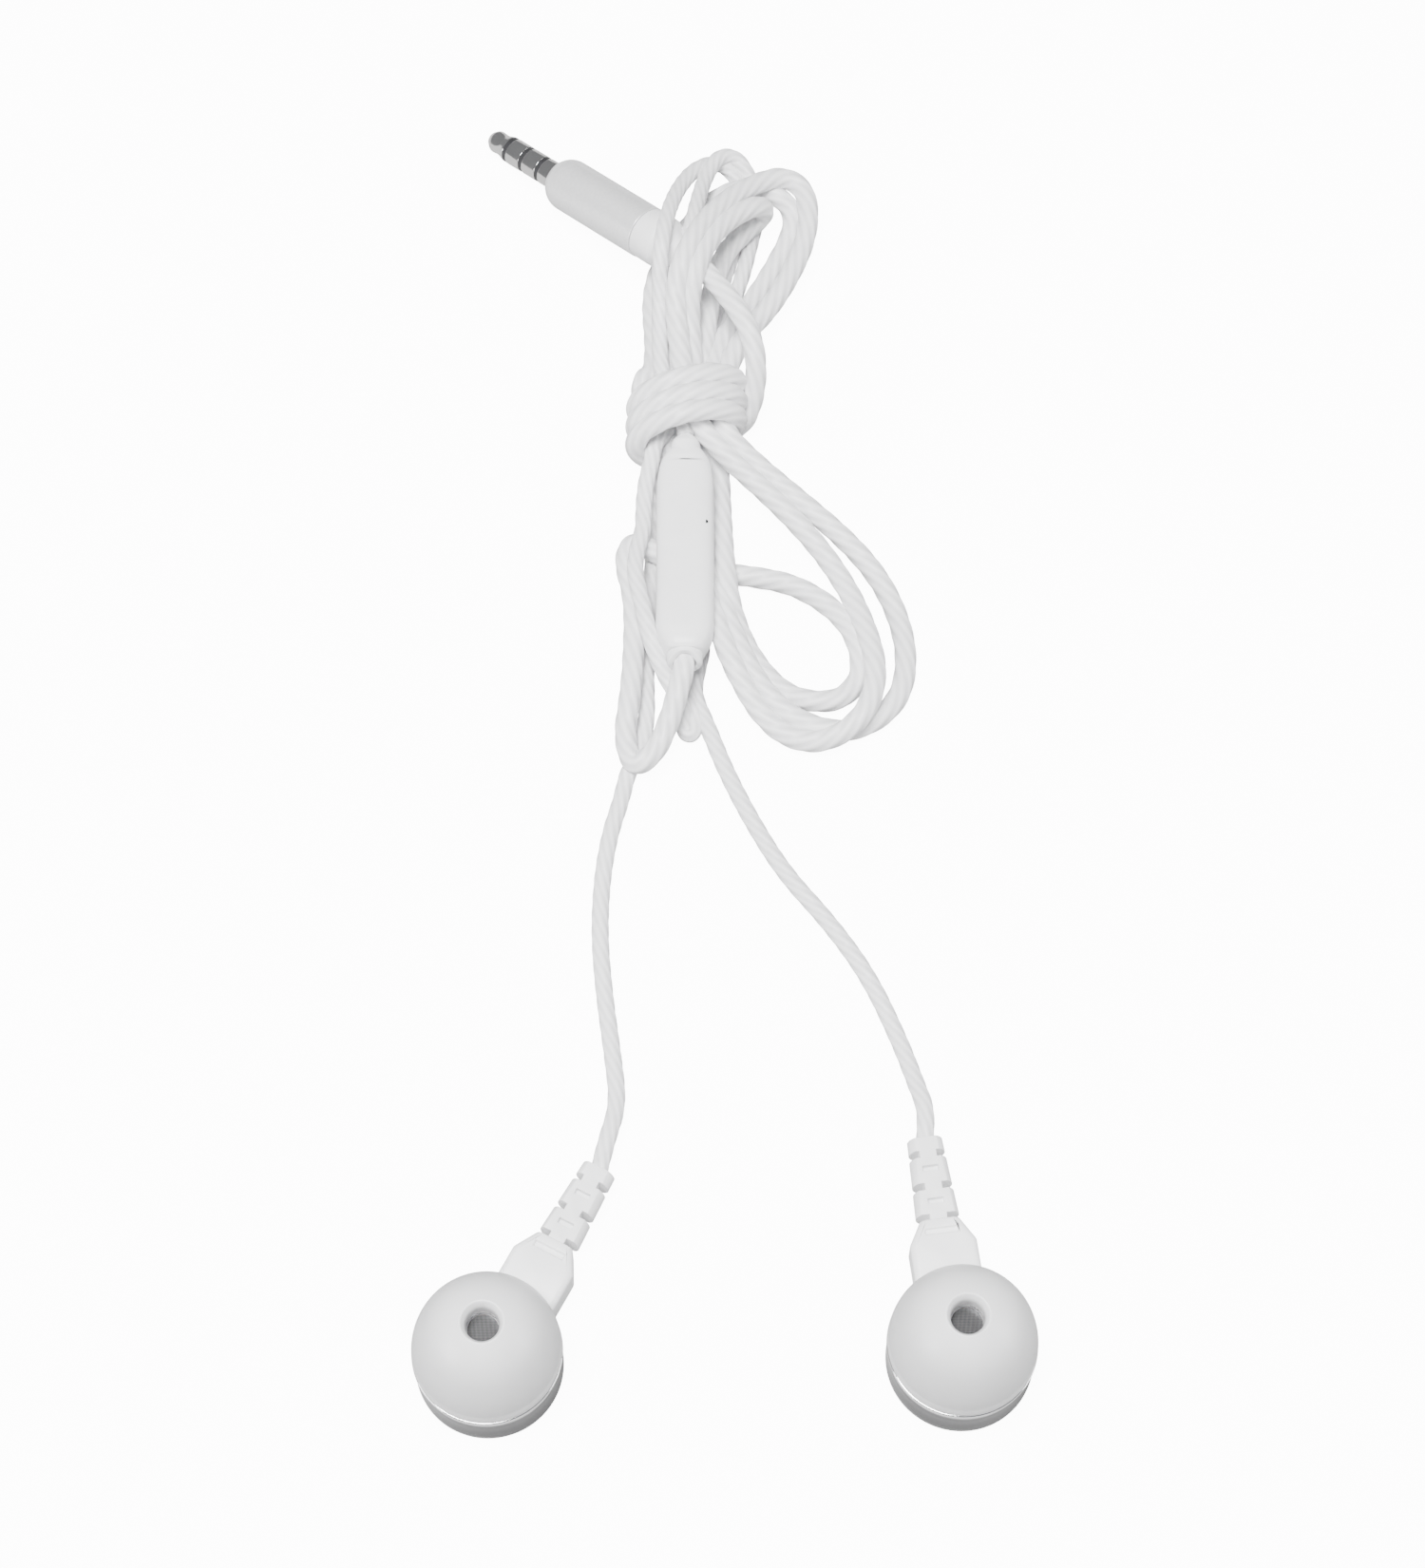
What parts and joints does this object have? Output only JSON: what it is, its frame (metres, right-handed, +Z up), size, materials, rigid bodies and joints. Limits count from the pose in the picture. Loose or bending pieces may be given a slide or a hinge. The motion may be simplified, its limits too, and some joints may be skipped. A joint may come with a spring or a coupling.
{
  "type": "wired earphones",
  "caption": "Wired in-ear earphones with silicone tips on polished shells, ribbed stems, an in-line remote and a cord tied in a bundle that ends in a straight audio plug.",
  "frame": {"origin": "on the surface that the earbuds stand on, under the middle of the box round the two earbuds with their stems and strain reliefs, without the cord and what is on it", "axes": "+X from the left earbud to the right earbud, +Y from the earbuds along the bundled cord towards the plug, +Z up along the earbuds' sound axes"},
  "size_m": [0.068, 0.174, 0.0166],
  "materials": {
    "silicone": "soft translucent silicone",
    "white_plastic": "smooth white",
    "polished_metal": "mirror polish",
    "mesh": "fine woven mesh",
    "grey_plastic": "moulded",
    "steel": "plain",
    "magnet": "nickel plated",
    "copper": "enamelled copper",
    "film": "thin film",
    "board": "circuit board",
    "soft_white": "soft white moulding",
    "cord": "soft white twisted cord",
    "plug_plating": "bright nickel plating",
    "black_plastic": "moulded",
    "pearl_metal": "pearly satin"
  },
  "bodies": {
    "root": {"hank_inner_runs": "cord", "hank_left_loop": "cord", "hank_right_loops": "cord", "hank_tie": "cord", "hank_top_loops": "cord", "left_back_shell": "polished_metal", "left_driver_frame": "grey_plastic", "left_lead": "cord", "left_magnet": "magnet", "left_mesh_screen": "mesh", "left_nozzle_ring": "polished_metal", "left_nozzle_shell": "white_plastic", "left_stem_housing": "white_plastic", "left_strain_relief": "soft_white", "left_terminal_board": "board", "left_top_plate": "steel", "left_trim_ring": "polished_metal", "left_yoke": "steel", "plug_barrel": "pearl_metal", "plug_collar": "soft_white", "plug_core": "white_plastic", "plug_insulators": "black_plastic", "plug_ring_front": "plug_plating", "plug_ring_rear": "plug_plating", "plug_sleeve": "plug_plating", "plug_solder_tabs": "copper", "plug_tip": "plug_plating", "remote_back_shell": "white_plastic", "remote_board": "board", "remote_bottom_relief": "soft_white", "remote_front_shell": "white_plastic", "remote_microphone": "steel", "remote_switch_body": "grey_plastic", "remote_top_relief": "soft_white", "right_back_shell": "polished_metal", "right_driver_frame": "grey_plastic", "right_lead": "cord", "right_magnet": "magnet", "right_mesh_screen": "mesh", "right_nozzle_ring": "polished_metal", "right_nozzle_shell": "white_plastic", "right_stem_housing": "white_plastic", "right_strain_relief": "soft_white", "right_terminal_board": "board", "right_top_plate": "steel", "right_trim_ring": "polished_metal", "right_yoke": "steel"},
    "left_tip": {"left_ear_tip": "silicone"},
    "left_membrane": {"left_voice_coil": "copper", "left_diaphragm": "film"},
    "right_tip": {"right_ear_tip": "silicone"},
    "right_membrane": {"right_voice_coil": "copper", "right_diaphragm": "film"},
    "remote_key": {"remote_button": "white_plastic", "remote_switch_plunger": "grey_plastic"}
  },
  "joints": [
    {"name": "left_tip_pull", "type": "slide", "parent": "root", "child": "left_tip", "axis": [0, 0, 1], "range_m": [0, 0.006]},
    {"name": "left_membrane_travel", "type": "slide", "parent": "root", "child": "left_membrane", "axis": [0, 0, 1], "range_m": [-0.00015, 0.00015], "stiffness_N_per_m": 80},
    {"name": "right_tip_pull", "type": "slide", "parent": "root", "child": "right_tip", "axis": [0, 0, 1], "range_m": [0, 0.006]},
    {"name": "right_membrane_travel", "type": "slide", "parent": "root", "child": "right_membrane", "axis": [0, 0, 1], "range_m": [-0.00015, 0.00015], "stiffness_N_per_m": 80},
    {"name": "remote_button_press", "type": "slide", "parent": "root", "child": "remote_key", "axis": [0, 0, 1], "range_m": [0, 0.00025], "stiffness_N_per_m": 4000}
  ]
}
